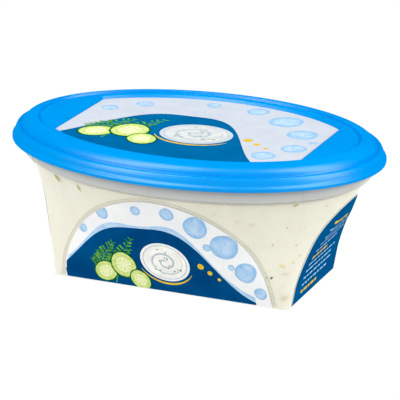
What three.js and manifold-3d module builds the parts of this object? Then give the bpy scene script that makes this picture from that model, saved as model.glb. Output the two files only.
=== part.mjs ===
// An oval tub of tzatziki with its push-on lid. Millimetres, +Z up, the long side along X,
// the front facing -Y, and the origin under the middle of the base.
import * as THREE from 'three';
import { mergeVertices } from 'three/addons/utils/BufferGeometryUtils.js';
import Module from 'manifold-3d';

// Driving dimensions of the lid.
const LID_LENGTH = 140;
const LID_WIDTH = 102;
const LID_SKIRT_Z = 47.8;
const LID_WALL = 0.9;
const LID_FLAT_Z = 55.3;
const LID_PANEL_Z = 53.9;
const LID_PANEL_HALF_LENGTH = 47.1;
const LID_PANEL_INSET = 13.6;
const LID_RAMP = 1.7;

// Driving dimensions of the tub.
const WALL = 0.9;
const BASE_EDGE = 0.5;
const FIT_GAP = 0.1;

// The dip's level, its gap to the wall, and how far its top edge stays inside the bend.
const FILL_Z = 41.3;
const FILL_GAP = 0.3;
const FILL_TOP_INSET = 0.4;

// The body turns from a rectangle at the base to an oval at the bend under the rim band.
// Each station gives the outline's half length and half width, and how much of each side
// is straight: the rest of each quarter is an elliptical arc.
const STATIONS = [
  { z: 0, halfLength: 45.9, halfWidth: 25.8, flatX: 44, flatY: 22.9 },
  { z: 10.15, halfLength: 47.8, halfWidth: 30.1, flatX: 30.4, flatY: 20.9 },
  { z: 20.3, halfLength: 52, halfWidth: 34.4, flatX: 12.1, flatY: 14.8 },
  { z: 30.45, halfLength: 58.1, halfWidth: 38.6, flatX: 7.4, flatY: 3 },
  { z: 40.6, halfLength: 61.7, halfWidth: 42.6, flatX: 1.5, flatY: 1 },
];
const BEND_Z = STATIONS.at(-1).z;

// Labels: arches on the four sides of the body, and a panel on the lid. The arches stand on
// straight feet, and their pockets run out through the base.
const LABEL_THICKNESS = 0.2;
const LABEL_FOOT_Z = 0.4;
const POCKET_FOOT_Z = -1;
const LID_LABEL_INSET = 0.2;
const FRONT_ARCH = { halfWidth: 40, height: 38.6, power: 1.95, border: 1.1 };
const SIDE_ARCH = { halfWidth: 22.1, height: 36.6, power: 2.3, border: 0.3 };

// Smoothness of the faceted surfaces.
const ARC_STEPS = 10;
const BODY_LEVELS = 10;
const LID_STEPS = 64;
const ARCH_STEPS = 36;

// How far a cutting solid reaches past the surface that it cuts.
const CUT_REACH = 2;

const wasm = await Module();
wasm.setup();

const lidBlue = new THREE.MeshStandardMaterial({ color: 0x00a5fa, roughness: 0.45, metalness: 0 });
const clearTub = new THREE.MeshStandardMaterial({ color: 0xe4e3d8, roughness: 0.25, metalness: 0 });
const tzatziki = new THREE.MeshStandardMaterial({ color: 0xeeebdb, roughness: 0.5, metalness: 0 });
const labelInk = new THREE.MeshStandardMaterial({ color: 0x00558c, roughness: 0.4, metalness: 0 });

// Joins closed rings of equally many points into one closed body, with a flat cap on each end.
function ringSolid(rings) {
  const count = rings[0].length;
  const centres = [rings[0], rings.at(-1)].map((ring) => new THREE.Vector3(0, 0, ring[0].z));
  const positions = [...rings.flat(), ...centres].flatMap((point) => point.toArray());
  const startCentre = rings.length * count;
  const endCentre = startCentre + 1;
  const lastRing = (rings.length - 1) * count;
  const indices = [];
  for (let j = 0; j < count; j += 1) {
    const next = (j + 1) % count;
    indices.push(startCentre, next, j);
    indices.push(endCentre, lastRing + j, lastRing + next);
    for (let i = 0; i < lastRing; i += count) {
      indices.push(i + j, i + next, i + count + next);
      indices.push(i + j, i + count + next, i + count + j);
    }
  }
  const geometry = new THREE.BufferGeometry();
  geometry.setAttribute('position', new THREE.Float32BufferAttribute(positions, 3));
  geometry.setIndex(indices);
  return geometry;
}

function toManifold(geometry) {
  const bare = geometry.clone();
  bare.deleteAttribute('normal');
  bare.deleteAttribute('uv');
  const merged = mergeVertices(bare);
  return new wasm.Manifold(new wasm.Mesh({
    numProp: 3,
    vertProperties: new Float32Array(merged.attributes.position.array),
    triVerts: new Uint32Array(merged.index.array),
  }));
}

function toGeometry(solid) {
  const mesh = solid.getMesh();
  const geometry = new THREE.BufferGeometry();
  geometry.setAttribute('position', new THREE.BufferAttribute(mesh.vertProperties, 3));
  geometry.setIndex(new THREE.BufferAttribute(mesh.triVerts, 1));
  geometry.computeVertexNormals();
  return geometry;
}

function namedMesh(name, geometry, material) {
  const mesh = new THREE.Mesh(geometry, material);
  mesh.name = name;
  return mesh;
}

// Smooth curves through the stations: the first holds the outline, the second its flats.
const stationCurve = (points) => new THREE.CatmullRomCurve3(points, false, 'catmullrom');
const outlineCurve = stationCurve(
  STATIONS.map((s) => new THREE.Vector3(s.halfLength, s.halfWidth, s.z)));
const flatCurve = stationCurve(
  STATIONS.map((s) => new THREE.Vector3(s.flatX, s.flatY, s.z)));

// The body's outline as a closed ring: share runs from 0 at the base to 1 at the bend, and
// grow moves the outline out.
function bodyRing(share, grow, z = BEND_Z * share) {
  const outline = outlineCurve.getPoint(share);
  const flat = flatCurve.getPoint(share);
  const quarter = [[outline.x + grow, 0]];
  for (let i = 0; i <= ARC_STEPS; i += 1) {
    const angle = (Math.PI / 2) * (i / ARC_STEPS);
    quarter.push([
      flat.x + (outline.x + grow - flat.x) * Math.cos(angle),
      flat.y + (outline.y + grow - flat.y) * Math.sin(angle),
    ]);
  }
  // The point on the Y axis starts the next quarter, which is this one in a mirror.
  const mirrored = [[0, outline.y + grow], ...quarter.slice(1).reverse().map(([x, y]) => [-x, y])];
  const half = [...quarter, ...mirrored];
  return [...half, ...half.map(([x, y]) => [-x, -y])].map(([x, y]) => new THREE.Vector3(x, y, z));
}

// Rings up the body's side from one height to another.
function bodyRings(grow, fromZ, toZ) {
  const rings = [];
  for (let i = 0; i <= BODY_LEVELS; i += 1) {
    const z = THREE.MathUtils.lerp(fromZ, toZ, i / BODY_LEVELS);
    rings.push(bodyRing(z / BEND_Z, grow, z));
  }
  return rings;
}

// A ring above the bend, given by how far it stands out from the bend and its height.
const bandRing = ([out, z]) => bodyRing(1, out, z);

// The rim band swells out from the bend, rises straight and ends in a flange under the lid.
const BAND_OUTSIDE = [[1.2, 41.4], [2.9, 42.6], [4.1, 44.4], [4.5, 47], [4.6, 50]];
const RIM_FLANGE = [[5.1, 50.1], [5.3, 50.6], [5, 51.1], [3.8, 51.2]];
const BAND_INSIDE = [[3.7, 50], [3.6, 47], [3.2, 44.7], [2.2, 43.3], [0.5, 42]];

// The middle of a quarter round, as a share of its radius from either end.
const ROUND_MIDDLE = 1 - Math.SQRT1_2;

function tubShell() {
  const edgeMiddle = BASE_EDGE * ROUND_MIDDLE;
  const foot = [bodyRing(0, -BASE_EDGE, 0), bodyRing(0, -edgeMiddle, edgeMiddle)];
  const outside = bodyRings(0, BASE_EDGE, BEND_Z);
  const inside = bodyRings(-WALL, WALL, BEND_Z).reverse();
  const band = [...BAND_OUTSIDE, ...RIM_FLANGE, ...BAND_INSIDE].map(bandRing);
  return toManifold(ringSolid([...foot, ...outside, ...band, ...inside]));
}

// A solid of the body's outer form, moved out by grow, for cutting pockets and labels.
const bodySolid = (grow) => toManifold(ringSolid(bodyRings(grow, 0, BEND_Z)));

// A layer under the body's surface, between two depths.
const bodyLayer = (outer, inner) => bodySolid(outer).subtract(bodySolid(inner));

// An arch standing on its straight foot, in the plane of X and Y: half a superellipse.
function archShape(arch, margin, foot) {
  const halfWidth = arch.halfWidth + margin;
  const height = arch.height + margin;
  const points = [new THREE.Vector2(halfWidth, foot)];
  for (let i = 1; i < ARCH_STEPS; i += 1) {
    const angle = Math.PI * (i / ARCH_STEPS);
    const across = Math.sign(Math.cos(angle)) * Math.abs(Math.cos(angle)) ** (2 / arch.power);
    const up = Math.sin(angle) ** (2 / arch.power);
    points.push(new THREE.Vector2(halfWidth * across, height * up));
  }
  points.push(new THREE.Vector2(-halfWidth, foot));
  return new THREE.Shape(points);
}

// The arch pushed out sideways from the middle of the tub, facing the given way round.
function archPrism(arch, margin, foot, turn) {
  const shape = archShape(arch, margin, foot);
  const prism = new THREE.ExtrudeGeometry(shape, { depth: LID_LENGTH / 2, bevelEnabled: false });
  prism.rotateX(Math.PI / 2);
  prism.rotateZ(turn);
  return toManifold(prism);
}

const PANELS = [
  { name: 'label_front', arch: FRONT_ARCH, turn: 0 },
  { name: 'label_right', arch: SIDE_ARCH, turn: Math.PI / 2 },
  { name: 'label_back', arch: FRONT_ARCH, turn: Math.PI },
  { name: 'label_left', arch: SIDE_ARCH, turn: -Math.PI / 2 },
];

function makeTub() {
  const pocketLayer = bodyLayer(CUT_REACH, -LABEL_THICKNESS - FIT_GAP);
  let tub = tubShell();
  for (const { arch, turn } of PANELS) {
    const prism = archPrism(arch, arch.border, POCKET_FOOT_Z, turn);
    tub = tub.subtract(prism.intersect(pocketLayer));
  }
  return namedMesh('tub', toGeometry(tub), clearTub);
}

function makeLabels() {
  const labelLayer = bodyLayer(0, -LABEL_THICKNESS);
  return PANELS.map(({ name, arch, turn }) => {
    const label = archPrism(arch, 0, LABEL_FOOT_Z, turn).intersect(labelLayer);
    return namedMesh(name, toGeometry(label), labelInk);
  });
}

function makeDip() {
  const side = bodyRings(-WALL - FILL_GAP, WALL + FILL_GAP, BEND_Z);
  const top = bandRing([-FILL_TOP_INSET, FILL_Z]);
  return namedMesh('dip', ringSolid([...side, top]), tzatziki);
}

// The lid's oval moved in by an inset, at one height.
function lidRing([inset, z]) {
  const a = LID_LENGTH / 2;
  const b = LID_WIDTH / 2;
  const ring = [];
  for (let i = 0; i < LID_STEPS; i += 1) {
    const angle = 2 * Math.PI * (i / LID_STEPS);
    const normal = new THREE.Vector2(Math.cos(angle) / a, Math.sin(angle) / b).normalize();
    const x = a * Math.cos(angle) - inset * normal.x;
    const y = b * Math.sin(angle) - inset * normal.y;
    ring.push(new THREE.Vector3(x, y, z));
  }
  return ring;
}

// The lid's outside from its lower edge: bead, skirt, ledge, groove, shoulder, crest, flat.
const LID_OUTSIDE = [
  [0.3, LID_SKIRT_Z], [0, 48.1], [0, 48.9], [0.4, 49.4],
  [0.8, 50.5], [1.3, 51.8], [2, 52.4],
  [3.1, 52.5], [3.5, 52.8],
  [3.9, 53.8], [4.4, 54.6], [5.1, 55.05], [6.5, 55.5], [8.2, 55.9],
  [9.4, 56.1], [10, 55.9], [10.4, LID_FLAT_Z],
];
// The same way back on the inside, one wall further in.
const LID_INSIDE = [
  [11, LID_FLAT_Z - LID_WALL], [9.7, 55.1], [6.7, 54.6], [5.2, 53.9], [4.2, 52],
  [3.4, 51.55], [2.4, 51.5], [1.5, 49.6], [1.1, 48.8], [1.1, LID_SKIRT_Z],
];

// The panel's outline: straight ends, and long sides that follow the lid's oval.
function panelRing(margin, z) {
  const halfLength = LID_PANEL_HALF_LENGTH + margin;
  const oval = lidRing([LID_PANEL_INSET - margin, z]);
  return oval.map((point) => {
    if (Math.abs(point.x) <= halfLength) return point;
    const corner = Math.sign(point.x) * halfLength;
    return new THREE.Vector3(corner, point.y * (halfLength / Math.abs(point.x)), z);
  });
}

function makeLid() {
  const shell = toManifold(ringSolid([...LID_INSIDE, ...LID_OUTSIDE].map(lidRing)));
  const slab = toManifold(ringSolid([
    panelRing(LID_WALL, LID_PANEL_Z - LID_WALL),
    panelRing(LID_WALL, LID_FLAT_Z - LID_WALL / 2),
  ]));
  const sunk = toManifold(ringSolid([
    panelRing(0, LID_PANEL_Z),
    panelRing(LID_RAMP, LID_FLAT_Z),
    panelRing(LID_RAMP, LID_FLAT_Z + CUT_REACH),
  ]));
  return namedMesh('lid', toGeometry(shell.add(slab).subtract(sunk)), lidBlue);
}

function makeLidLabel() {
  const foot = LID_PANEL_Z + FIT_GAP;
  const rings = [foot, foot + LABEL_THICKNESS].map((z) => panelRing(-LID_LABEL_INSET, z));
  return namedMesh('lid_label', ringSolid(rings), labelInk);
}

const tzatzikiTub = new THREE.Group();
tzatzikiTub.add(makeTub(), makeDip(), makeLid(), makeLidLabel(), ...makeLabels());
export default tzatzikiTub;
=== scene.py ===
# An oval tub of tzatziki dip with its push-on lid: the looks of every piece, the studio and the camera.
# Shapes are worked out in millimetres and turned to metres when a mesh is made.
import itertools
import math
import random
from functools import partial

import bmesh
import bpy
import numpy as np
from mathutils import Matrix, Vector


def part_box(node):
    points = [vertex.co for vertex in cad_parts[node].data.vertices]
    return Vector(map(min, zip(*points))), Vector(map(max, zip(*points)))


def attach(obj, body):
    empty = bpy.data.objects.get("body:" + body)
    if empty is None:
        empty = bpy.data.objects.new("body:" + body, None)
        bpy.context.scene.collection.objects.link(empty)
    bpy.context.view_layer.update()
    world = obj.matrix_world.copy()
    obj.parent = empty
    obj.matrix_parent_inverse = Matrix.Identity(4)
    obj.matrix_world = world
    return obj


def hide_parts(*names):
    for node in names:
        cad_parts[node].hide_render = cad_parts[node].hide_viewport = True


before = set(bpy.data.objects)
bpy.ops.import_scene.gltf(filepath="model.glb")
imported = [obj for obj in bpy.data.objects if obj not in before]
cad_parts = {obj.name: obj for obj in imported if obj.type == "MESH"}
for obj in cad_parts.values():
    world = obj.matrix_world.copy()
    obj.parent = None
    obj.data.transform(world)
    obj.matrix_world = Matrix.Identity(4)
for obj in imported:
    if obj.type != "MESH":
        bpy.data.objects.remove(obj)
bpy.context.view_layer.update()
MM = 0.001
LID_LOW, LID_HIGH = (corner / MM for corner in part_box("lid"))
DIP_TOP_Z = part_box("dip")[1].z / MM
LID_LABEL_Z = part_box("lid_label")[1].z / MM

# Camera, fitted to the photograph: angles in degrees, lengths in millimetres.
VIEW_AZIMUTH = 21.97
VIEW_ELEVATION = 18.31
VIEW_ROLL = 0.90
VIEW_DISTANCE = 924.1
VIEW_TARGET = (1.4, 0.0, 27.44)
VIEW_LENS = 228.4
SENSOR = 36.0

# Lid: half axes of its oval, and the sunk panel in its middle.
LID_A = LID_HIGH.x
LID_B = LID_HIGH.y
LID_SKIRT_Z = LID_LOW.z
LID_WALL = 0.9
LID_FLAT_Z = 55.3
LID_PANEL_Z = 53.9
LID_PANEL_HALF_LENGTH = 46.9
LID_PANEL_INSET = 13.6
LID_RAMP = 1.2
LID_LABEL_INSET = 0.2
LID_STEPS = 288
# Rings further in than the first inset lie further out at the lid's ends, in full past the second.
LID_END_DRIFT = 0.6
LID_DRIFT_INSETS = (5, 9)
# The panel's edge: how far outside the panel's foot, height and rounding radius.
PANEL_SECTION = [
    (-LID_RAMP, LID_PANEL_Z, 0), (0, LID_PANEL_Z, 0.3),
    (LID_RAMP, LID_FLAT_Z, 0.4), (2 * LID_RAMP, LID_FLAT_Z, 0),
]

# Each corner of the lid's section: inset from the oval, height, and the radius that rounds it.
LID_SECTION = [
    (10.55, LID_FLAT_Z, 0.1), (10.3, LID_FLAT_Z - 0.3, 0.15), (10.05, LID_FLAT_Z - 0.1, 0.1),
    (9.8, 56.0, 0.3), (9.35, 56.1, 0.3), (8.2, 55.95, 0.8), (5.2, 55.15, 1.5), (3.85, 53.7, 0.7),
    (3.45, 52.2, 0.25), (1.75, 52.5, 0.35), (1.1, 51.2, 1.2), (0.8, 49.8, 0.3), (0.0, 49.1, 0.35),
    (0.0, LID_SKIRT_Z, 0.3),
    (1.1, LID_SKIRT_Z, 0.2), (1.1, 48.8, 0.3), (2.4, 51.5, 0.3), (4.2, 52.0, 0.3), (5.2, 53.9, 0.8),
    (6.7, 54.6, 0.5), (9.7, 55.1, 0.3), (11.0, LID_FLAT_Z - LID_WALL, 0.2),
]

# Body: the outline at equal steps of height, from the base to the bend under the rim band. Each
# station holds its half length, half width, and the straight part of each on every side.
BEND_Z = 40.6
STATIONS = np.array([
    (45.9, 25.8, 44.0, 22.9),
    (47.8, 30.1, 30.4, 20.9),
    (52.0, 34.4, 12.1, 14.8),
    (58.1, 38.6, 7.4, 3.0),
    (61.7, 42.6, 1.5, 1.0),
])
WALL = 0.9
BASE_EDGE = 0.5
# Sections above the bend: distance out from the bend's outline, height, rounding radius.
BAND_OUTSIDE = [
    (0.0, BEND_Z, 0.0), (1.2, 41.4, 0.5), (2.9, 42.6, 1.2), (4.1, 44.4, 2.0), (4.5, 47.0, 2.0),
    (4.6, 50.0, 0.1), (5.3, 50.2, 0.2), (5.3, 51.0, 0.2), (3.8, 51.2, 0.1),
]
BAND_INSIDE = [
    (3.7, 50.0, 0.1), (3.6, 47.0, 1.5), (3.2, 44.7, 1.0), (2.2, 43.3, 0.8), (0.5, 42.0, 0.4),
    (-WALL, BEND_Z, 0.0),
]
BAND_FACE = BAND_OUTSIDE[:6]
ARC_STEPS = 28
BODY_LEVELS = 64
DIP_LEVELS = 40
# The flats between the body's rounded corners: how many points each has, and how far along they reach.
FLAT_STEPS = {"long": 11, "short": 9}
FLAT_REACH = 0.85
# The most of a straight that a rounded corner may take.
CORNER_REACH = 0.48

# Labels: half superellipses standing on a straight foot.
LABEL_THICKNESS = 0.1
LABEL_FOOT_Z = 0.4
LABEL_DEPTH = 0.12
POCKET_DEPTH = LABEL_DEPTH + LABEL_THICKNESS
LID_FILM_THICKNESS = 0.2
# Each arch: half width, height, power, the border of its pocket, and the strength of the painted shade
# line round that border.
ARCHES = {
    "front": {"half": 40.0, "height": 38.6, "power": 1.95, "border": 1.3, "shade": 1.0},
    "side": {"half": 22.1, "height": 36.6, "power": 2.3, "border": 0.3, "shade": 0.3},
}
ARCH_STEPS = 120
# The pocket's rounded edge, drawn as a line of painted shade: how far outside the label a line lies, in
# borders, and its share of haze.
POCKET_EDGE = [(0.05, 0.3), (0.7, 0.35), (1.0, 1.0), (1.35, 0.0)]
POCKET_LINE_SHADE = 0.09
POCKET_EDGE_DEPTHS = (POCKET_DEPTH + 0.02, POCKET_DEPTH + 0.06)
# The bend's rounded edge, drawn as a line of painted shade: out from the bend, height over it and share of
# the haze.
BEND_LINE = [(-0.3, -0.3, 0.0), (-0.3, 0.1, 1.0), (0.3, 0.5, 1.0), (0.9, 0.9, 0.0)]
BEND_LINE_THICKNESS = 0.05
BEND_LINE_SHADE = 0.2
# Which way each body label faces, in quarter turns from the front.
SIDES = {"front": 0, "right": 1, "back": 2, "left": 3}

# How far the dip reaches into the wall, so that no gap shows, and how uneven its top edge is.
DIP_BITE = 0.55
DIP_SIDE = -WALL + DIP_BITE
DIP_WAVE = 0.2
DIP_EDGE_OUT = 0.5
DIP_TOP_RINGS = 24

# Print: layers of thin patches, one step apart, on a mesh fine enough to follow the curved labels.
PRINT_STEP = 0.008
PRINT_THICKNESS = 0.03
PRINT_MESH = 1.2
CLIP_STEPS = 60
PRINT_MARGIN = 0.15
PRINT_BASE = 0.03
CURTAIN_STEPS = 90
BOWL_SQUASH = 0.86
SLICE_SQUASH = 0.88
STEM_STEPS = 24
HAIR_STEPS = 8
SWIRL_STEPS = 110
# Rows of dashes on the right label.
DASH_ROWS = 11
DASH_TOP = 29.5
DASH_ROW_STEP = 2.6
DASH_GAP = 0.9
# The ruled table on the left label.
TABLE_HALF = 13
TABLE_TOP = 28
TABLE_FOOT = 1.2
TABLE_ROWS = 10
TABLE_ROW_STEP = 2.4
HILL_RIPPLE = 0.9
HILL_RIPPLE_LENGTH = 7.0

# Mould marks on the rim band: x along the tub, and which long side they are on.
MARKS = [(1.0, -1), (51.6, -1), (-51.6, -1), (-1.0, 1), (51.6, 1), (-51.6, 1)]
MARK_WIDTH = 0.25
MARK_HEIGHT = 0.12
MARK_RISE = (42.6, 46.6)
MARK_STEPS = 9

# Share of light that the clear plastic scatters: in the body, in the rim band, and at a slant.
BODY_HAZE = 0.1
BAND_HAZE = 0.75
SLANT_HAZE = 0.7
SLANT_POWER = 5.0
# Heights over which the haze grows above the bend, and over which the lid's painted shadow darkens the
# band.
HAZE_HEIGHTS = (BEND_Z + 0.2, BEND_Z + 2.4)
SHADE_HEIGHTS = (45.0, 48.5)
# The rim band's milk is painted greyer than the body's, as painted shade for the dim space under the lid,
# and darker towards the lid, as the lid's painted shadow.
BAND_SHADED_MILK = (0.63, 0.64, 0.62, 1.0)
BAND_SHADE = (0.36, 0.37, 0.37, 1.0)
WHITE = (1.0, 1.0, 1.0, 1.0)

# Share of light that is mirrored, and roughness.
FILM_GLOSS = 0.02
FILM_ROUGHNESS = 0.28
INK_ROUGHNESS = 0.38
LID_GLOSS = 0.06
LID_ROUGHNESS = (0.29, 0.34)

# Bits seen in the dip on the front: kind, place across and up, half length, half width, turn in degrees.
SEEN_BITS = [
    ("herb", 48.1, 40.0, 1.5, 0.5, 25), ("herb", -41.0, 39.5, 2.6, 1.2, -38),
    ("herb", -30.2, 38.6, 1.9, 0.7, -60), ("peel", 22.5, 36.6, 1.4, 0.35, 40),
    ("peel", 34.4, 32.8, 1.5, 0.7, 10), ("peel", 29.7, 33.9, 0.9, 0.5, 30),
    ("red", 45.1, 31.2, 0.35, 0.3, 0), ("red", 40.6, 24.9, 0.4, 0.3, 0),
    ("red", 47.5, 24.3, 0.35, 0.25, 0), ("seed", 43.7, 16.8, 1.5, 1.0, -20),
    ("seed", 46.7, 18.0, 0.8, 0.6, 0), ("seed", 48.6, 20.3, 0.6, 0.5, 0),
    ("dark", 40.3, 12.5, 0.8, 0.5, 60), ("dark", 38.9, 12.6, 0.4, 0.3, 0),
    ("peel", 39.1, 9.3, 0.5, 0.4, 0), ("bubble_shade", 44.3, 4.6, 1.9, 1.6, 0),
    ("peel", 44.0, 8.8, 0.4, 0.3, 0),
]
# Specks of dip left on the inside of the rim band's front: place along and up, and half length.
BAND_SPECKS = [
    (-1.8, 44.6, 0.45), (3.2, 44.2, 0.5), (12.0, 44.6, 0.35), (16.8, 44.9, 0.6),
    (19.6, 44.2, 0.45), (23.7, 44.7, 0.35), (26.4, 44.0, 0.4), (32.9, 44.6, 0.6),
]
# Bits scattered on the other sides: kind, how many, and their least and greatest half length.
SCATTERED_BITS = [
    ("herb", 9, 0.5, 1.2), ("peel", 26, 0.4, 1.2), ("red", 12, 0.2, 0.35), ("dark", 5, 0.25, 0.5),
    ("seed", 9, 0.5, 1.3), ("bubble_shade", 6, 0.9, 1.6),
]
BIT_PROUD = 0.06

# Studio: softboxes as name, place, size in metres and power in watts.
FLOOR_SIZE = 4.0
FLOOR_LIGHT = 1.02
WORLD_LIGHT = 0.8
WORLD_TOP = 0.5
WORLD_SHINE = 0.02
SOFTBOXES = [
    ("softbox_left", (-0.56, -0.76, 0.98), (0.6, 1.5), 11.5),
    ("softbox_right", (1.03, -0.12, 0.87), (0.75, 1.6), 13.0),
]
LIGHT_TARGET = Vector((0.0, 0.0, 0.04))
# What shows as black in the picture.
BLACK_POINT = 0.021


def srgb(red, green, blue):
    """A colour as a screen shows it, 0 to 255, turned to the linear values that shaders use."""
    shares = [channel / 255 for channel in (red, green, blue)]
    linear = [((share + 0.055) / 1.055) ** 2.4 if share > 0.04045 else share / 12.92 for share in shares]
    return (*linear, 1.0)


CREAM = srgb(229, 227, 213)


# Meshes.

def direction(angle):
    """A step of length one along an angle, or along each of several."""
    return np.stack([np.cos(angle), np.sin(angle)], axis=-1)


def make_piece(name, points, faces, material, smooth_angle=35):
    """A closed mesh of millimetre points, facing out, that rides on the part."""
    mesh = bpy.data.meshes.new(name)
    mesh.from_pydata((np.asarray(points) * MM).tolist(), [], faces)
    shell = bmesh.new()
    shell.from_mesh(mesh)
    bmesh.ops.recalc_face_normals(shell, faces=shell.faces)
    shell.to_mesh(mesh)
    shell.free()
    mesh.shade_smooth()
    mesh.set_sharp_from_angle(angle=math.radians(smooth_angle))
    mesh.materials.append(material)
    piece = bpy.data.objects.new(name, mesh)
    bpy.context.scene.collection.objects.link(piece)
    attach(piece, "root")
    return piece


def ring_solid(rings):
    """Points and faces of a closed body through rings of equally many points, with flat ends."""
    count = len(rings[0])
    points = np.concatenate([*rings, [rings[0].mean(axis=0)], [rings[-1].mean(axis=0)]])
    start_middle = len(rings) * count
    faces = []
    for j in range(count):
        after = (j + 1) % count
        for i in range(len(rings) - 1):
            low, high = i * count, (i + 1) * count
            faces.append((low + j, low + after, high + after, high + j))
        faces.append((start_middle, after, j))
        last = (len(rings) - 1) * count
        faces.append((start_middle + 1, last + j, last + after))
    return points, faces


def rounded(corners, steps=5):
    """A section through corners of (across, up, radius), each turned into a short curve."""
    path = []
    for i, (x, z, radius) in enumerate(corners):
        here = np.array((x, z), float)
        if radius == 0 or i in (0, len(corners) - 1):
            path.append(here)
            continue
        before = np.array(corners[i - 1][:2]) - here
        after = np.array(corners[i + 1][:2]) - here
        long_before, long_after = np.linalg.norm(before), np.linalg.norm(after)
        reach = min(radius, long_before * CORNER_REACH, long_after * CORNER_REACH)
        start, end = here + before / long_before * reach, here + after / long_after * reach
        for t in np.linspace(0, 1, steps):
            path.append((1 - t) ** 2 * start + 2 * t * (1 - t) * here + t * t * end)
    return path


def grid_faces(rows, count):
    """Faces between rows of equally many points."""
    faces = []
    for i in range(rows - 1):
        for j in range(count - 1):
            start = i * count + j
            faces.append((start, start + 1, start + count + 1, start + count))
    return faces


def store_edge(piece, values):
    """Keeps a value for each point, 1 at a shape's edge and 0 in its middle, for the materials."""
    attribute = piece.data.attributes.new("edge", "FLOAT", "POINT")
    attribute.data.foreach_set("value", values)


def closed_sheet(top, bottom, faces):
    """A thin closed body from the two sides of one sheet, joined round its edge."""
    count = len(top)
    edges = {edge for face in faces for edge in zip(face, face[1:] + face[:1])}
    rim = [(b, a, a + count, b + count) for a, b in edges if (b, a) not in edges]
    under = [tuple(v + count for v in reversed(face)) for face in faces]
    return np.concatenate([top, bottom]), faces + under + rim


def joined(parts):
    """Several (points, faces) bodies as one."""
    points, faces, count = [], [], 0
    for part_points, part_faces, *_ in parts:
        points.append(part_points)
        faces += [tuple(v + count for v in face) for face in part_faces]
        count += len(part_points)
    return np.concatenate(points), faces


def make_shapes(name, shapes, material):
    """Several (points, faces, nearness to an edge) shapes as one piece."""
    points, faces = joined(shapes)
    piece = make_piece(name, points, faces, material)
    store_edge(piece, np.concatenate([nearness for _, _, nearness in shapes]))


# The form of the tub's body.

def outline(z):
    """The body's half length, half width and straights at heights z, smooth through the stations."""
    last = len(STATIONS) - 1
    ends = np.array([2 * STATIONS[0] - STATIONS[1], 2 * STATIONS[-1] - STATIONS[-2]])
    knots = np.concatenate([ends[:1], STATIONS, ends[1:]])
    t = np.clip(np.asarray(z, float) / BEND_Z, 0, 1) * last
    i = np.minimum(t.astype(int), last - 1)
    w = (t - i)[..., None]
    p0, p1, p2, p3 = knots[i], knots[i + 1], knots[i + 2], knots[i + 3]
    m1, m2 = (p2 - p0) / 2, (p3 - p1) / 2
    value = p1 + m1 * w + (3 * (p2 - p1) - 2 * m1 - m2) * w ** 2 + (2 * (p1 - p2) + m1 + m2) * w ** 3
    return np.moveaxis(value, -1, 0)


def body_ring(z, grow=0.0, height=None):
    """The outline at height z, moved out by grow, as a closed ring that may lie at another height."""
    half_x, half_y, flat_x, flat_y = outline(min(z, BEND_Z))
    angle = np.linspace(0, math.pi / 2, ARC_STEPS + 1)
    x = flat_x + (half_x + grow - flat_x) * np.cos(angle)
    y = flat_y + (half_y + grow - flat_y) * np.sin(angle)
    flats_x = flat_x * np.linspace(FLAT_REACH, -FLAT_REACH, FLAT_STEPS["long"])
    flats_y = flat_y * np.linspace(-FLAT_REACH, FLAT_REACH, FLAT_STEPS["short"])
    top_x = np.concatenate([x, flats_x, -x[::-1]])
    top_y = np.concatenate([y, np.full(len(flats_x), half_y + grow), y[::-1]])
    side_x = np.full(len(flats_y), half_x + grow)
    ring_x = np.concatenate([side_x, top_x, -side_x, -top_x])
    ring_y = np.concatenate([flats_y, top_y, -flats_y, -top_y])
    return np.stack([ring_x, ring_y, np.full(len(ring_x), z if height is None else height)], axis=1)


def surface_reach(side, u, z):
    """How far the body's surface is from the middle plane, facing a side, at u across and height z."""
    half_x, half_y, flat_x, flat_y = outline(np.clip(z, 0, BEND_Z))
    if side % 2:
        half_x, half_y, flat_x, flat_y = half_y, half_x, flat_y, flat_x
    share = np.clip((np.abs(u) - flat_x) / (half_x - flat_x), 0, 1)
    return flat_y + (half_y - flat_y) * np.sqrt(1 - share ** 2)


def on_body(side, uv, lift=0.0):
    """Points at u across and v up on one side of the body, lifted off its surface."""
    uv = np.asarray(uv, float)
    u, v = uv[:, 0], uv[:, 1]
    reach = surface_reach(side, u, v) + lift
    turn = side * math.pi / 2
    x = u * math.cos(turn) + reach * math.sin(turn)
    y = u * math.sin(turn) - reach * math.cos(turn)
    return np.stack([x, y, v], axis=1)


def on_band(uv, lift=0.0, side=-1):
    """Points at u along the tub and v up on the rim band's front, or its back if side is 1."""
    u, v = np.asarray(uv, float).T
    outs, heights, _ = zip(*BAND_FACE)
    out = np.interp(v, heights, outs) + lift
    half_x, half_y, flat_x, flat_y = outline(BEND_Z)
    share = np.clip((np.abs(u) - flat_x) / (half_x + out - flat_x), 0, 1)
    return np.stack([u, side * (flat_y + (half_y + out - flat_y) * np.sqrt(1 - share ** 2)), v], axis=1)


def on_lid(uv, lift=0.0):
    """Points at u along and v across, lifted off the lid label."""
    uv = np.asarray(uv, float)
    return np.concatenate([uv, np.full((len(uv), 1), LID_LABEL_Z + lift)], axis=1)


# The form of the lid.

def lid_ring(inset, z):
    """The lid's oval moved in by an inset, at one height, with the drift at its ends."""
    angle = np.linspace(0, 2 * math.pi, LID_STEPS, endpoint=False)
    along = direction(angle)
    normal = along / (LID_A, LID_B)
    normal /= np.linalg.norm(normal, axis=1)[:, None]
    drift = LID_END_DRIFT * np.interp(inset, LID_DRIFT_INSETS, (0, 1)) * np.cos(angle) ** 2
    flat = along * (LID_A, LID_B) - (inset - drift)[:, None] * normal
    return np.column_stack([flat, np.full(LID_STEPS, z)])


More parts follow.
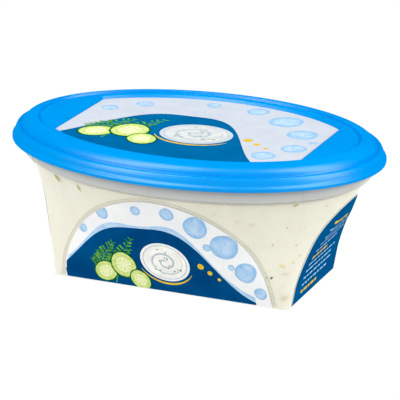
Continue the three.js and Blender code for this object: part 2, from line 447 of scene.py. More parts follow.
def panel_ring(margin, z):
    """The panel's outline: straight ends, and long sides that follow the oval."""
    half_length = LID_PANEL_HALF_LENGTH + margin
    ring = lid_ring(LID_PANEL_INSET - margin, z)
    quarter = ring[:LID_STEPS // 4 + 1]
    corner = half_length, np.interp(-half_length, -quarter[:, 0], quarter[:, 1])
    shrink = np.minimum(1, half_length / np.maximum(np.abs(ring[:, 0]), half_length))
    ring[:, :2] *= shrink[:, None]
    for turn in itertools.product((1, -1), repeat=2):
        spot = np.multiply(corner, turn)
        ring[np.linalg.norm(ring[:, :2] - spot, axis=1).argmin(), :2] = spot
    return ring


# Materials. Each is made of shader nodes, with patterns laid out in the object's own space.

def new_material(name):
    material = bpy.data.materials.new(name)
    material.use_nodes = True
    return material, material.node_tree, material.node_tree.nodes["Principled BSDF"]


def fill(tree, node, inputs):
    """Sets inputs of a node, each to a value or to another node's socket."""
    for key, value in inputs.items():
        if isinstance(value, bpy.types.NodeSocket):
            tree.links.new(value, node.inputs[key])
        else:
            node.inputs[key].default_value = value


def add(tree, kind, inputs=(), **settings):
    """A new node with its settings and inputs."""
    made = tree.nodes.new("ShaderNode" + kind)
    for key, value in settings.items():
        setattr(made, key, value)
    fill(tree, made, dict(inputs))
    return made


def object_space(tree):
    """Where a point lies in its own object's space."""
    return add(tree, "TexCoord").outputs["Object"]


def noise_pattern(tree, size, detail=3.0, distortion=0.0):
    """Noise whose features are about this many millimetres across."""
    place = {"Vector": object_space(tree), "Scale": 1 / (size * MM)}
    return add(tree, "TexNoise", {**place, "Detail": detail, "Distortion": distortion}).outputs["Fac"]


def blended(tree, factor, first, second, low=0.35, high=0.65):
    """A colour that runs from first to second as factor goes from low to high."""
    ramp = add(tree, "ValToRGB", {"Fac": factor})
    ramp.color_ramp.elements[0].position = low
    ramp.color_ramp.elements[0].color = first
    ramp.color_ramp.elements[1].position = high
    ramp.color_ramp.elements[1].color = second
    return ramp.outputs["Color"]


def ranged(tree, value, low, high, to_low=0.0, to_high=1.0, **settings):
    """A value moved from one range to another, and kept inside it."""
    inputs = {"Value": value, "From Min": low, "From Max": high, "To Min": to_low, "To Max": to_high}
    return add(tree, "MapRange", inputs, **settings).outputs[0]


def mixed(tree, factor, first, second):
    """A mix of two colours."""
    return add(tree, "Mix", {"Factor": factor, 6: first, 7: second}, data_type="RGBA").outputs[2]


def reckoned(tree, operation, first, second):
    """A sum with two values."""
    return add(tree, "Math", {0: first, 1: second}, operation=operation).outputs[0]


def stored_edge(tree):
    """The value that store_edge keeps for each point."""
    return add(tree, "Attribute", attribute_name="edge").outputs["Fac"]


def relief(tree, size, depth, detail=3.0):
    """The slopes of a noise relief, its features and depth in millimetres."""
    height = noise_pattern(tree, size, detail)
    return add(tree, "Bump", {"Height": height, "Distance": depth * MM}).outputs["Normal"]


def clear_film(tree, haze, milk_colour):
    """Clear plastic that scatters a share of the light."""
    milk = add(tree, "BsdfDiffuse", {"Color": milk_colour})
    through = add(tree, "BsdfTransparent", {"Color": WHITE})
    return add(tree, "MixShader", {"Fac": haze, 1: through.outputs[0], 2: milk.outputs[0]}).outputs[0]


def set_surface(tree, surface):
    fill(tree, tree.nodes["Material Output"], {"Surface": surface})


def glossed(tree, surface, roughness, share, **normal):
    """Gloss of one strength at every angle, so that the outline of a piece doesn't darken."""
    gloss = add(tree, "BsdfGlossy", {"Color": WHITE, "Roughness": roughness, **normal})
    both = add(tree, "MixShader", {"Fac": share, 1: surface, 2: gloss.outputs[0]})
    set_surface(tree, both.outputs[0])


def lid_plastic():
    """Satin moulded plastic: slight flow marks in its colour and a fine grain in its gloss."""
    material, tree, shader = new_material("lid_plastic")
    colour = blended(tree, noise_pattern(tree, 30, detail=2), srgb(0, 142, 222), srgb(0, 148, 228))
    grain = relief(tree, 0.35, 0.01, detail=2)
    fill(tree, shader, {"Base Color": colour, "Normal": grain, "Specular IOR Level": 0})
    roughness = ranged(tree, noise_pattern(tree, 4), 0, 1, *LID_ROUGHNESS)
    glossed(tree, shader.outputs[0], roughness, LID_GLOSS, Normal=grain)
    return material


def clear_plastic():
    """Clear natural plastic, milkiest in the rim band and at a slant, with a faint gloss; the band's milk
    is painted grey, and darker under the lid, as painted shade.
    """
    material, tree, shader = new_material("clear_plastic")
    tree.nodes.remove(shader)
    height = add(tree, "SeparateXYZ", {"Vector": object_space(tree)}).outputs["Z"]
    low, high = (z * MM for z in HAZE_HEIGHTS)
    haze = ranged(tree, height, low, high, BODY_HAZE, BAND_HAZE, interpolation_type="SMOOTHSTEP")
    slant = add(tree, "LayerWeight", {"Blend": 0.5}).outputs["Facing"]
    slant_haze = reckoned(tree, "MULTIPLY", reckoned(tree, "POWER", slant, SLANT_POWER), SLANT_HAZE)
    # Painted shade: the band's grey milk darkens towards the lid, as the lid's shadow.
    shade = ranged(tree, height, *(z * MM for z in SHADE_HEIGHTS))
    band_shaded_milk = mixed(tree, shade, BAND_SHADED_MILK, BAND_SHADE)
    cloud = noise_pattern(tree, 12, detail=2)
    body_milk = blended(tree, cloud, srgb(244, 243, 236), srgb(248, 247, 241))
    milk_colour = mixed(tree, ranged(tree, height, low, high), body_milk, band_shaded_milk)
    film = clear_film(tree, reckoned(tree, "MAXIMUM", haze, slant_haze), milk_colour)
    glossed(tree, film, FILM_ROUGHNESS, FILM_GLOSS, Normal=relief(tree, 3, 0.02))
    return material


def painted_shade_line(name, strength):
    """A soft darker line of painted shade along a rounded edge moulded in the clear wall."""
    material, tree, shader = new_material(name)
    tree.nodes.remove(shader)
    haze = reckoned(tree, "MULTIPLY", stored_edge(tree), strength)
    # The line's colour: a darker beige, painted shade.
    mottled = blended(tree, noise_pattern(tree, 6), srgb(176, 170, 132), srgb(186, 180, 144))
    set_surface(tree, clear_film(tree, haze, mottled))
    return material


def dip_cream():
    """Thick strained yogurt: cream white, softly mottled with paler and greener streaks."""
    material, tree, shader = new_material("dip_cream")
    streaks = noise_pattern(tree, 9, detail=4, distortion=1.2)
    base = blended(tree, streaks, CREAM, srgb(225, 223, 206), 0.3, 0.7)
    shreds = ranged(tree, noise_pattern(tree, 3.5, detail=2, distortion=2.5), 0.62, 0.72, 0, 0.45)
    fill(tree, shader, {
        "Base Color": mixed(tree, shreds, base, srgb(222, 222, 199)),
        "Normal": relief(tree, 2.5, 0.05),
        "Roughness": 0.5,
        "Specular IOR Level": 0,
        "Subsurface Weight": 0.35,
        "Subsurface Radius": (1.0, 0.85, 0.6),
        "Subsurface Scale": 2 * MM,
    })
    return material


def printed(tree, shader, colour):
    """An ink's colour and its faint gloss."""
    fill(tree, shader, {"Base Color": colour, "Specular IOR Level": 0})
    glossed(tree, shader.outputs[0], INK_ROUGHNESS, FILM_GLOSS)


def speckled(name, light, dark, size):
    """An ink with slight variation."""
    material, tree, shader = new_material(name)
    printed(tree, shader, blended(tree, noise_pattern(tree, size), dark, light))
    return material


def sunk_bit(name, light, dark, size):
    """A bit of food sunk into the dip, or the painted shade of an air bubble: its colour in the middle,
    cream towards its edge.
    """
    material, tree, shader = new_material(name)
    own = blended(tree, noise_pattern(tree, size), dark, light)
    sunk = ranged(tree, stored_edge(tree), 0.4, 1)
    colour = mixed(tree, sunk, own, CREAM)
    fill(tree, shader, {"Base Color": colour, "Roughness": 0.5, "Specular IOR Level": 0.2})
    return material


def watercolour(name, light, dark, size):
    """Printed watercolour: it pools darker towards each shape's edge, and unevenly inside."""
    material, tree, shader = new_material(name)
    wash = noise_pattern(tree, size, detail=3, distortion=0.6)
    pooled = ranged(tree, stored_edge(tree), 0.55, 1, 0, 0.35)
    printed(tree, shader, blended(tree, reckoned(tree, "ADD", wash, pooled), light, dark, 0.35, 0.85))
    return material


# Inks: light tone, dark tone, and the size of the patches of each tone in millimetres.
INK_TONES = {
    "deep_blue": ((0, 82, 134), (0, 72, 122), 9),
    "navy": ((0, 92, 142), (0, 81, 131), 9),
    "lid_blue_ink": ((0, 106, 160), (0, 98, 152), 9),
    "white": ((237, 238, 237), (231, 233, 234), 7),
    # The lid's white and cream are darker copies of white and cream: painted shade that holds them down
    # under the stronger light from above.
    "lid_white_shaded": ((199, 206, 216), (193, 201, 212), 7),
    "lid_cream_shaded": ((214, 217, 216), (200, 205, 208), 3.5),
    "gold": ((226, 192, 60), (212, 178, 48), 1.5),
    "cream": ((246, 245, 238), (229, 230, 226), 3.5),
    "shade": ((192, 201, 205), (170, 182, 190), 2),
    "cucumber": ((214, 228, 150), (186, 208, 112), 1.2),
    "seed": ((236, 240, 196), (222, 230, 170), 0.8),
    "rind": ((52, 122, 44), (28, 88, 34), 1.2),
    "dill": ((112, 176, 66), (48, 122, 44), 1.5),
}
INKS = {name: speckled(f"ink_{name}", srgb(*light), srgb(*dark), size)
        for name, (light, dark, size) in INK_TONES.items()}
INKS["pale_blue"] = watercolour("ink_pale_blue", srgb(186, 212, 236), srgb(140, 184, 222), 2.5)

# Bits in the dip: light tone, dark tone and patch size.
BIT_TONES = {
    "herb": ((190, 184, 112), (164, 158, 78), 0.9),
    "peel": ((228, 216, 186), (216, 200, 164), 0.7),
    "red": ((186, 144, 130), (164, 120, 108), 0.5),
    "dark": ((92, 94, 86), (58, 60, 56), 0.5),
    "seed": ((226, 213, 164), (214, 198, 144), 1.5),
    # Air bubbles: the darker disc is painted shade of the bubble's hollow.
    "bubble_shade": ((217, 211, 186), (205, 199, 172), 1.5),
}
BITS = {name: sunk_bit(f"bit_{name}", srgb(*light), srgb(*dark), size)
        for name, (light, dark, size) in BIT_TONES.items()}


# Printed shapes: patches and strokes, each given by points across and up on its label.

def turned(across, up, angle):
    """A point turned about the middle."""
    cosine, sine = math.cos(angle), math.sin(angle)
    return across * cosine - up * sine, across * sine + up * cosine


def blob(centre, half_u, half_v, turn=0.0, wobble=0.0, seed=0, steps=48):
    """An oval outline, with a hand-drawn wobble."""
    draw = random.Random(seed)
    phases = [draw.uniform(0, 2 * math.pi) for _ in range(3)]
    edge = []
    for i in range(steps):
        angle = 2 * math.pi * i / steps
        waves = (math.sin(k * angle + phase) / k for k, phase in enumerate(phases, start=2))
        size = 1 + wobble * sum(waves)
        edge.append(turned(half_u * size * math.cos(angle), half_v * size * math.sin(angle), turn))
    return np.array(edge) + centre


def sheet(place, uv, faces, nearness, lift, thickness):
    """A thin body on a surface: points, faces, and how near a shape's edge each point is."""
    points, faces = closed_sheet(place(uv, lift), place(uv, lift - thickness), faces)
    return points, faces, np.tile(nearness, 2)


def fan(edge):
    """A mesh inside a closed outline: places, faces and nearness to the edge."""
    count, centre = len(edge), edge.mean(axis=0)
    rings = max(4, math.ceil(np.linalg.norm(edge - centre, axis=1).max() / PRINT_MESH))
    shares = np.linspace(0, 1, rings + 1)[1:]
    uv = np.concatenate([[centre], *[centre + share * (edge - centre) for share in shares]])
    faces = [(0, 1 + j, 1 + (j + 1) % count) for j in range(count)]
    for i in range(rings - 1):
        near, far = 1 + i * count, 1 + (i + 1) * count
        faces += [(near + j, far + j, far + (j + 1) % count, near + (j + 1) % count) for j in range(count)]
    return uv, faces, np.concatenate([[0], np.repeat(shares, count)])


class Print:
    """The printed shapes of one label, gathered by ink and made into one piece for each."""

    def __init__(self, name, place, inside, base=0.0, inks=()):
        self.name = name
        self.place = place
        self.inside = inside
        self.base = base
        self.inks = dict(inks)
        self.shapes = {}
        self.count = 0

    def clipped(self, edge):
        """An outline pulled towards its middle until all of it lies on the label."""
        centre = edge.mean(axis=0)
        shares = np.ones(len(edge))
        for _ in range(CLIP_STEPS):
            outside = ~self.inside(centre + shares[:, None] * (edge - centre))
            shares[outside] -= 1 / CLIP_STEPS
        return centre + shares[:, None] * (edge - centre)

    def height(self, layer):
        """The height of a layer, a trace different for each shape so that no two lie in one plane."""
        self.count += 1
        return self.base + PRINT_STEP * (layer + (self.count % 12) / 13)

    def keep(self, ink, layer, uv, faces, nearness):
        shape = sheet(self.place, uv, faces, nearness, self.height(layer), PRINT_THICKNESS)
        self.shapes.setdefault(ink, []).append(shape)

    def patch(self, ink, edge, layer):
        """A patch inside a closed outline."""
        self.keep(ink, layer, *fan(self.clipped(edge)))

    def curtain(self, ink, u, low, high, layer):
        """A patch between a lower and an upper line over the same places across."""
        rows = max(2, math.ceil((high - low).max() / PRINT_MESH))
        shares = np.linspace(0, 1, rows + 1)
        uv = np.concatenate([np.stack([u, low + share * (high - low)], axis=1) for share in shares])
        self.keep(ink, layer, uv, grid_faces(rows + 1, len(u)), np.zeros(len(uv)))

    def ribbon(self, ink, path, widths, layer):
        """A stroke along the part of a path that lies on the label, as wide as given at each point."""
        kept = self.inside(path)
        if kept.sum() <= 2:
            return
        path = path[kept]
        along = np.gradient(path, axis=0)
        along /= np.maximum(np.linalg.norm(along, axis=1), 1e-9)[:, None]
        side = np.stack([-along[:, 1], along[:, 0]], axis=1) * (widths[kept] / 2)[:, None]
        uv = np.stack([path + side, path, path - side], axis=1).reshape(-1, 2)
        self.keep(ink, layer, uv, grid_faces(len(path), 3), [1.0, 0.0, 1.0] * len(path))

    def make(self):
        for ink, shapes in self.shapes.items():
            make_shapes(f"{self.name}_{ink}", shapes, INKS[self.inks.get(ink, ink)])


# Motifs of the print.

# Watercolour dots of the front and of the lid: place across and up, and radius.
FRONT_DOTS = [
    (15, 30.5, 4.4), (24.5, 23.5, 4.9), (31.5, 13.8, 3.9), (5, 34.6, 2.6), (-7, 34.3, 1.9),
    (-21, 31, 2.6), (36.3, 5.8, 2.4), (18.3, 22.6, 1.5), (-30.5, 22.5, 1.8), (26.5, 15.4, 1.2),
]
LID_DOTS = [
    (26, 22, 6.4), (37, 9, 5.6), (40, -8, 4.6), (12, 30, 4.2), (33, -20, 4.4), (-30, 22, 3.4),
    (-40, 12, 3.2), (-6, 31, 2.8), (44, 1, 1.6),
]


def cucumber_slice(art, centre, radius, layer, seed):
    """Dark rind, pale flesh and a ring of seeds round a lighter middle."""
    turn = 0.7 * seed
    for ink, share in (("rind", 1.0), ("cucumber", 0.9), ("seed", 0.56)):
        edge = blob(centre, radius * share, radius * share * SLICE_SQUASH, turn, 0.03, seed)
        art.patch(ink, edge, layer)
        layer += 1
    for i in range(9):
        angle = 2 * math.pi * i / 9 + seed
        spot = centre + radius * 0.38 * direction(angle) * (1, SLICE_SQUASH)
        art.patch("cucumber", blob(spot, radius * 0.1, radius * 0.045, angle, steps=14), layer)


def dill_sprig(art, foot, tip, size, layer, seed):
    """A bent stem with feathery fronds on both sides."""
    draw = random.Random(seed)
    foot, tip = np.array(foot, float), np.array(tip, float)
    along = (tip - foot) / np.linalg.norm(tip - foot)
    bend = np.array([-along[1], along[0]]) * size * 0.35
    t = np.linspace(0, 1, STEM_STEPS)[:, None]
    stem = (1 - t) ** 2 * foot + 2 * t * (1 - t) * ((foot + tip) / 2 + bend) + t ** 2 * tip
    art.ribbon("dill", stem, np.linspace(0.55, 0.2, STEM_STEPS), layer)
    for i in range(4, STEM_STEPS, 2):
        for hand in (-1, 1):
            heading = math.atan2(along[1], along[0]) + hand * draw.uniform(0.7, 1.1)
            length = size * (1.05 - i / 26) * draw.uniform(0.75, 1.05)
            frond(art, stem[i], heading, length, layer + 1, draw)


def frond(art, start, heading, length, layer, draw):
    """One side branch with short hairs."""
    t = np.linspace(0, 1, HAIR_STEPS)[:, None]
    path = start + t * length * direction(heading)
    art.ribbon("dill", path, np.linspace(0.4, 0.12, HAIR_STEPS), layer)
    for root in path[2:]:
        for hand in (-1, 1):
            angle = heading + hand * draw.uniform(0.5, 0.8)
            hair = root + t * length * 0.3 * direction(angle)
            art.ribbon("dill", hair, np.linspace(0.34, 0.14, HAIR_STEPS), layer)


def bowl_of_dip(art, centre, radius, layer, seed):
    """A white bowl seen from above, with a swirl in the dip, chopped herbs and a gold arc below."""
    centre = np.array(centre, float)
    squash = np.array([1, BOWL_SQUASH])
    for ink, share in (("white", 1.0), ("shade", 0.9), ("cream", 0.86)):
        art.patch(ink, blob(centre, radius * share, radius * share * BOWL_SQUASH), layer)
        layer += 1
    turn = np.linspace(0.6, 4.2 * math.pi, SWIRL_STEPS)
    spiral = direction(turn) * (radius * 0.055 * turn)[:, None] * squash
    width = radius * 0.09 * np.sin(np.linspace(0.3, 3.0, SWIRL_STEPS))
    art.ribbon("shade", centre + spiral, width, layer)
    draw = random.Random(seed)
    for _ in range(16):
        angle, reach = draw.uniform(0, 2 * math.pi), radius * 0.75 * math.sqrt(draw.random())
        spot = centre + squash * reach * direction(angle)
        herb = blob(spot, radius * 0.05, radius * 0.018, draw.uniform(0, 3), steps=12)
        art.patch("dill", herb, layer + 1)
    arc = np.linspace(math.radians(205), math.radians(335), 60)
    below = centre + direction(arc) * radius * 1.14 * squash
    art.ribbon("gold", below, radius * 0.09 * np.sin(np.linspace(0.15, 3.0, 60)), layer)


def hill(u, foot, crest, spread, height):
    """The top of a broad wave, at each u across."""
    wave = height * np.exp(-np.abs((u - crest) / spread) ** 3)
    return foot + wave + HILL_RIPPLE * np.sin(u / HILL_RIPPLE_LENGTH)


def dip_picture(art, centre, size, layer):
    """The bowl with cucumber slices and dill beside it. Places are for a bowl of size 10."""
    grow = size / 10

    def spot(u, v):
        return centre[0] + u * grow, centre[1] + v * grow

    dill_sprig(art, spot(-29, -11), spot(-20, 6), 6.5 * grow, layer, seed=3)
    dill_sprig(art, spot(-22, -13), spot(-12, 9), 6.5 * grow, layer, seed=5)
    for i, (u, v, radius) in enumerate([(-25.5, -8.2, 5.2), (-17.5, -4.0, 6.2), (-11.5, -10.0, 4.8)]):
        cucumber_slice(art, spot(u, v), radius * grow, layer + 3 + 4 * i, seed=i + 1)
    bowl_of_dip(art, centre, size, layer, seed=4)
    for i, radius in enumerate((1.3, 1.0, 0.7)):
        middle = spot(14.5 + 3.4 * i, 0.5 - 2.4 * i)
        art.patch("gold", blob(middle, radius * grow, radius * grow, steps=24), layer)


# Labels: a thin film on each side and on the lid, and the print on it.

def arch_of(side):
    return ARCHES["side" if side % 2 else "front"]


def arch_edge(arch, margin, foot):
    """The outline of an arch: half a superellipse on a straight foot."""
    angle = np.linspace(0, math.pi, ARCH_STEPS + 1)[1:-1]
    power = 2 / arch["power"]
    half = arch["half"] + margin
    across = np.sign(np.cos(angle)) * np.abs(np.cos(angle)) ** power * half
    up = np.sin(angle) ** power * (arch["height"] + margin)
    curve = np.stack([across, np.maximum(up, foot)], axis=1)
    bottom = np.linspace((-half, foot), (half, foot), ARCH_STEPS // 2)
    return np.concatenate([curve, bottom])


def arch_sheet(side, margin, foot, outer, inner):
    """A layer of the body's wall inside an arch, between two depths."""
    edge = arch_edge(arch_of(side), margin, foot)
    points, faces, _ = sheet(partial(on_body, side), *fan(edge), outer, outer - inner)
    return points, faces


def arch_top(arch, u):
    """The height of an arch's print area over each place across."""
    half, height = arch["half"] - PRINT_MARGIN, arch["height"] - PRINT_MARGIN
    return height * np.maximum(0, 1 - np.abs(u / half) ** arch["power"]) ** (1 / arch["power"])


def in_arch(arch, uv):
    """Which points lie inside an arch, a print margin away from its edge."""
    half, height = arch["half"] - PRINT_MARGIN, arch["height"] - PRINT_MARGIN
    u, v = uv[:, 0], uv[:, 1]
    reach = np.abs(u / half) ** arch["power"] + np.abs(np.maximum(v, 0) / height) ** arch["power"]
    return (reach <= 1) & (v >= LABEL_FOOT_Z + PRINT_MARGIN)


def in_panel(uv):
    """Which points lie inside the lid label, a print margin away from its edge."""
    inset = LID_PANEL_INSET + LID_LABEL_INSET + PRINT_MARGIN
    reach = (uv[:, 0] / (LID_A - inset)) ** 2 + (uv[:, 1] / (LID_B - inset)) ** 2
    return (reach <= 1) & (np.abs(uv[:, 0]) <= LID_PANEL_HALF_LENGTH - LID_LABEL_INSET - PRINT_MARGIN)


def make_arch_labels():
    drawings = {"right": print_side, "left": print_table}
    for name, side in SIDES.items():
        points, faces = arch_sheet(side, 0, LABEL_FOOT_Z, -LABEL_DEPTH, -POCKET_DEPTH)
        film = make_piece(f"label_{name}_film", points, faces, INKS["white"])
        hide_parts(f"label_{name}")
        inside = partial(in_arch, arch_of(side))
        art = Print(f"{name}_print", partial(on_body, side), inside, PRINT_BASE - LABEL_DEPTH)
        drawings.get(name, print_front)(art, arch_of(side))
        art.make()


def draw_dots(art, dots, first_seed):
    """Watercolour dots: place across and up, and radius."""
    for seed, (u, v, radius) in enumerate(dots, start=first_seed):
        edge = blob((u, v), radius, radius, wobble=0.05, seed=seed)
        art.patch("pale_blue", edge, 1)


def print_front(art, arch):
    """A deep blue wave with the bowl picture on it, and watercolour dots in the white above."""
    u = np.linspace(-39.6, 34, CURTAIN_STEPS)
    foot = LABEL_FOOT_Z + PRINT_MARGIN
    wave = hill(u, foot, crest=-6, spread=29, height=27)
    limit = arch_top(arch, u)
    top = np.maximum(foot + 0.1, np.minimum(wave, limit))
    art.curtain("deep_blue", u, np.full_like(u, foot), top, 1)
    wash = wave + 1.6 + 0.7 * np.sin(u / 4.3)
    low, high = np.minimum((wave - 0.3, wash), limit - 0.05)
    art.curtain("pale_blue", u[2:], low[2:], np.maximum(low, high)[2:], 0)
    dip_picture(art, centre=(1, 13.5), size=9.5, layer=3)
    draw_dots(art, FRONT_DOTS, first_seed=0)


def print_side(art, arch):
    """Deep blue all over, with rows of plain dashes as small print seen from a step away."""
    half, height, power = arch["half"], arch["height"], arch["power"]
    u = np.linspace(-half, half, CURTAIN_STEPS) * 0.993
    foot = LABEL_FOOT_Z + PRINT_MARGIN
    art.curtain("navy", u, np.full_like(u, foot), np.maximum(foot + 0.1, arch_top(arch, u)), 1)
    draw = random.Random(11)
    for row in range(DASH_ROWS):
        v = DASH_TOP - DASH_ROW_STEP * row
        heading = row in (0, 5, 10)
        ink, width = ("gold", 1.1) if heading else ("pale_blue", 0.7)
        reach = half * (1 - (v / height) ** power) ** (1 / power) * 0.66
        end = 0.2 * reach if heading else reach * draw.uniform(0.7, 1.0)
        u = -reach
        while u < end - 1.5:
            length = draw.uniform(1.6, 4.2)
            art.ribbon(ink, np.linspace((u, v), (min(u + length, end), v), 5), np.full(5, width), 2)
            u += length + DASH_GAP


def print_table(art, arch):
    """A plain ruled box on white, with short dashes in two columns."""
    def line(start, end, width, steps=28):
        art.ribbon("navy", np.linspace(start, end, steps), np.full(steps, width), 1)

    draw = random.Random(12)
    for row in range(TABLE_ROWS):
        v = TABLE_TOP - 2 - TABLE_ROW_STEP * row
        rule = v - TABLE_ROW_STEP / 2
        line((-TABLE_HALF, rule), (TABLE_HALF, rule), 0.45 if row % 3 == 0 else 0.18)
        for start, longest in ((-12.4, 13), (8, 4.2)):
            line((start, v), (start + longest * draw.uniform(0.5, 1.0), v), 0.6, 14)
    for u in (-TABLE_HALF, TABLE_HALF):
        line((u, TABLE_FOOT), (u, TABLE_TOP), 0.3)
    line((-TABLE_HALF, TABLE_TOP), (TABLE_HALF, TABLE_TOP), 0.3)


def make_lid_label():
    edge = panel_ring(-LID_LABEL_INSET, 0)[:, :2]
    points, faces, _ = sheet(on_lid, *fan(edge), 0, LID_FILM_THICKNESS)
    # The lid's film and its whites take the darker lid inks, as painted shade.
    film = make_piece("lid_label_film", points, faces, INKS["lid_white_shaded"])
    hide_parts("lid_label")
    art = Print("lid_print", on_lid, in_panel, inks={"white": "lid_white_shaded", "cream": "lid_cream_shaded"})
    u = np.linspace(-46.7, 36, CURTAIN_STEPS)
    inset = LID_PANEL_INSET + LID_LABEL_INSET + PRINT_MARGIN
    edge = (LID_B - inset) * np.sqrt(1 - (u / (LID_A - inset)) ** 2)
    wave = np.minimum(hill(u, foot=-37, crest=-8, spread=33, height=52), edge)
    art.curtain("lid_blue_ink", u, -edge, np.maximum(wave, 0.1 - edge), 1)
    dip_picture(art, centre=(2, -6), size=13.5, layer=3)
    draw_dots(art, LID_DOTS, first_seed=20)
    art.make()


# The lid, the tub and the dip.

def make_lid():
    top = [panel_ring(margin, z) for margin, z in rounded(PANEL_SECTION)[:-1]]
    rim = [lid_ring(inset, z) for inset, z in rounded([(10.8, LID_FLAT_Z, 0), *LID_SECTION])]
    under = [panel_ring(LID_WALL, z) for z in (LID_FLAT_Z - LID_WALL, LID_PANEL_Z - LID_WALL)]
    points, faces = ring_solid(top + rim + under)
    lid = make_piece("lid_shell", points, faces, lid_plastic(), smooth_angle=50)
    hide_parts("lid")


def cut(piece, cutters):
    """Takes the cutters out of a piece, and leaves the result as its mesh."""
    hollow = bpy.data.collections.new("cutters")
    for cutter in cutters:
        hollow.objects.link(cutter)
    modifier = piece.modifiers.new("cut", "BOOLEAN")
    modifier.operand_type = "COLLECTION"
    modifier.collection = hollow
    modifier.solver = "MANIFOLD"
    evaluated = piece.evaluated_get(bpy.context.evaluated_depsgraph_get())
    mesh = bpy.data.meshes.new_from_object(evaluated)
    piece.modifiers.clear()
    piece.data = mesh
    for cutter in cutters:
        bpy.data.objects.remove(cutter)
    bpy.data.collections.remove(hollow)


def pocket_cutter(side):
    """A body that cuts the pocket of one label."""
    points, faces = arch_sheet(side, arch_of(side)["border"], -1, 2, -POCKET_DEPTH)
    mesh = bpy.data.meshes.new("pocket")
    mesh.from_pydata((points * MM).tolist(), [], faces)
    return bpy.data.objects.new("pocket", mesh)


def make_tub():
    middle = BASE_EDGE * (1 - math.sqrt(0.5))
    foot = [body_ring(0, -BASE_EDGE), body_ring(0, -middle, middle)]
    outside = [body_ring(z) for z in np.linspace(BASE_EDGE, BEND_Z, BODY_LEVELS)]
    corners = rounded(BAND_OUTSIDE)[1:] + rounded(BAND_INSIDE)[:-1]
    band = [body_ring(BEND_Z, out, z) for out, z in corners]
    inside = [body_ring(z, -WALL) for z in np.linspace(BEND_Z, WALL, BODY_LEVELS)]
    points, faces = ring_solid(foot + outside + band + inside)
    plastic = clear_plastic()
    tub = make_piece("tub_shell", points, faces, plastic)
    cut(tub, [pocket_cutter(side) for side in SIDES.values()])
    tub.data.shade_smooth()
    tub.data.set_sharp_from_angle(angle=math.radians(30))
    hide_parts("tub")
    make_mould_marks(plastic)
    make_pocket_edges()
    make_bend_line()


def make_pocket_edges():
    """A soft line of painted shade round every label, where its pocket ends."""
    shapes = []
    count = ARCH_STEPS - 1
    for side in SIDES.values():
        arch = arch_of(side)
        margins = [share * arch["border"] for share, _ in POCKET_EDGE]
        rows = [arch_edge(arch, margin, LABEL_FOOT_Z)[:count] for margin in margins]
        outer, inner = (on_body(side, np.concatenate(rows), -depth) for depth in POCKET_EDGE_DEPTHS)
        haze = 2 * [share * arch["shade"] for _, share in POCKET_EDGE for _ in range(count)]
        shapes.append((*closed_sheet(outer, inner, grid_faces(len(rows), count)), haze))
    make_shapes("pocket_edges", shapes, painted_shade_line("pocket_shade_line", POCKET_LINE_SHADE))


def make_bend_line():
    """A soft line of painted shade round the body at the bend under the rim band."""
    rows = [body_ring(BEND_Z, out, BEND_Z + up) for out, up, _ in BEND_LINE]
    count = len(rows[0]) + 1
    outer = np.concatenate([[*row, row[0]] for row in rows])
    inner = outer - (0, 0, BEND_LINE_THICKNESS)
    haze = 2 * [share for _, _, share in BEND_LINE for _ in range(count)]
    shape = (*closed_sheet(outer, inner, grid_faces(len(rows), count)), haze)
    make_shapes("bend_line", [shape], painted_shade_line("bend_line", BEND_LINE_SHADE))


def make_mould_marks(plastic):
    """Short upright ribs on the rim band, where the mould's parts met."""
    marks = []
    for x, side in MARKS:
        line = np.linspace((x, MARK_RISE[0]), (x, MARK_RISE[1]), MARK_STEPS)
        centre = on_band(line, 0, side)
        across, proud = np.array([MARK_WIDTH / 2, 0, 0]), np.array([0, side * MARK_HEIGHT, 0])
        middle = np.stack([centre - across, centre + across], axis=1).reshape(-1, 3)
        marks.append(closed_sheet(middle + proud, middle - proud, grid_faces(MARK_STEPS, 2)))
    points, faces = joined(marks)
    make_piece("mould_marks", points, faces, plastic)


def make_dip():
    """The dip up to its level, with an uneven edge where it meets the wall."""
    side = [body_ring(z, DIP_SIDE) for z in np.linspace(WALL - DIP_BITE, BEND_Z, DIP_LEVELS)]
    edge = body_ring(BEND_Z, DIP_SIDE + DIP_EDGE_OUT, DIP_TOP_Z)
    angle = np.arctan2(edge[:, 1], edge[:, 0])
    wave = sum(np.sin(k * angle + 1.7 * k) / k for k in (3, 7, 13, 29))
    edge[:, 2] += DIP_WAVE * (wave - 1) / 2
    top = []
    for share in np.linspace(1, 0.04, DIP_TOP_RINGS)[1:]:
        ring = edge * (share, share, 1)
        ripple = np.sin(ring[:, 0] / 4.1) * np.sin(ring[:, 1] / 3.3 + 1)
        ring[:, 2] = DIP_TOP_Z - DIP_WAVE * (1 + ripple)
        top.append(ring)
    points, faces = ring_solid(side + [edge] + top)
    dip = make_piece("dip_body", points, faces, dip_cream())
    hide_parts("dip")


def bit_shape(side, edge):
    """A bit at the dip's surface on a side of the body, or on the inside of the rim band."""
    place, depth = (on_band, -WALL) if side == "band" else (partial(on_body, side), DIP_SIDE)
    return sheet(place, *fan(edge), depth + BIT_PROUD, 2 * BIT_PROUD)


def scattered_bits():
    """Bits at random places on the right, the back and the left."""
    draw = random.Random(8)
    bits = []
    for kind, count, low, high in SCATTERED_BITS:
        for _ in range(count):
            side = draw.choice((1, 2, 2, 3))
            half_length = draw.uniform(low, high)
            half_width = half_length * draw.uniform(0.3, 0.7)
            z = draw.uniform(2.5, 38.5)
            reach = outline(z)[side % 2] * 0.93 - 2
            u, turn = draw.uniform(-reach, reach), draw.uniform(0, 180)
            bits.append((kind, side, u, z, half_length, half_width, turn))
    return bits


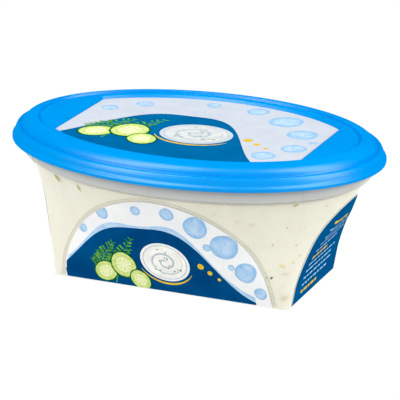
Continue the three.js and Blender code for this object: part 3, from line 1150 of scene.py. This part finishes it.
def make_bits():
    """Herbs, cucumber, red specks, and air bubbles as discs of painted shade, that show at the dip's
    surface through the wall.
    """
    bits = [(kind, 0, *rest) for kind, *rest in SEEN_BITS] + scattered_bits()
    bits += [("herb", "band", x, z, half_length, half_length / 2, 20 * x)
             for x, z, half_length in BAND_SPECKS]
    kinds = {}
    for i, (kind, side, u, v, half_length, half_width, turn) in enumerate(bits):
        edge = blob((u, v), half_length, half_width, math.radians(turn), 0.18, seed=i, steps=20)
        kinds.setdefault(kind, []).append(bit_shape(side, edge))
    for kind, shapes in kinds.items():
        make_shapes(f"bits_{kind}", shapes, BITS[kind])


# The studio.

def make_floor():
    """A light table: plain white from below, so that nothing casts a shadow on it."""
    mesh = bpy.data.meshes.new("floor")
    half = FLOOR_SIZE / 2
    corners = [(-half, -half, 0), (half, -half, 0), (half, half, 0), (-half, half, 0)]
    mesh.from_pydata(corners, [], [(0, 1, 2, 3)])
    floor = bpy.data.objects.new("floor", mesh)
    bpy.context.scene.collection.objects.link(floor)
    material, tree, shader = new_material("floor_white")
    fill(tree, shader, {"Base Color": (0, 0, 0, 1), "Specular IOR Level": 0})
    fill(tree, shader, {"Emission Color": WHITE, "Emission Strength": FLOOR_LIGHT})
    mesh.materials.append(material)
    floor.visible_glossy = False


def make_softbox(name, place, size, power):
    """A rectangular area light of size (width, height) in metres, aimed at the tub."""
    light = bpy.data.lights.new(name, "AREA")
    light.shape = "RECTANGLE"
    light.size, light.size_y = size
    light.energy = power
    lamp = bpy.data.objects.new(name, light)
    lamp.location = place
    lamp.rotation_euler = (LIGHT_TARGET - Vector(place)).to_track_quat("-Z", "Y").to_euler()
    bpy.context.scene.collection.objects.link(lamp)


def make_world():
    world = bpy.data.worlds.new("studio")
    world.use_nodes = True
    tree = world.node_tree
    mirrored = add(tree, "LightPath").outputs["Is Glossy Ray"]
    up = add(tree, "SeparateXYZ", {"Vector": add(tree, "TexCoord").outputs["Generated"]}).outputs["Z"]
    light = ranged(tree, up, 0, 1, WORLD_LIGHT, WORLD_TOP)
    strength = add(tree, "Mix", {"Factor": mirrored, "A": light, "B": WORLD_SHINE})
    fill(tree, tree.nodes["Background"], {"Color": WHITE, "Strength": strength.outputs[0]})
    bpy.context.scene.world = world
    view = bpy.context.scene.view_settings
    view.view_transform = "Standard"
    view.look = "None"
    view.use_curve_mapping = True
    view.curve_mapping.black_level = (BLACK_POINT, BLACK_POINT, BLACK_POINT)
    view.curve_mapping.update()


def make_camera():
    """The camera at the photograph's viewing angle."""
    azimuth, elevation, roll = (math.radians(a) for a in (VIEW_AZIMUTH, VIEW_ELEVATION, VIEW_ROLL))
    back = Vector((math.sin(azimuth) * math.cos(elevation), -math.cos(azimuth) * math.cos(elevation),
                   math.sin(elevation)))
    right = Vector((0, 0, 1)).cross(back).normalized()
    up = back.cross(right)
    right, up = (right * math.cos(roll) + up * math.sin(roll),
                 up * math.cos(roll) - right * math.sin(roll))
    lens = bpy.data.cameras.new("camera")
    lens.lens = VIEW_LENS
    lens.sensor_width = SENSOR
    camera = bpy.data.objects.new("camera", lens)
    place = (Vector(VIEW_TARGET) + back * VIEW_DISTANCE) * MM
    camera.matrix_world = Matrix.Translation(place) @ Matrix((right, up, back)).transposed().to_4x4()
    bpy.context.scene.collection.objects.link(camera)
    bpy.context.scene.camera = camera


make_camera()
make_world()
make_floor()
for softbox in SOFTBOXES:
    make_softbox(*softbox)
make_lid()
make_tub()
make_dip()
make_bits()
make_lid_label()
make_arch_labels()
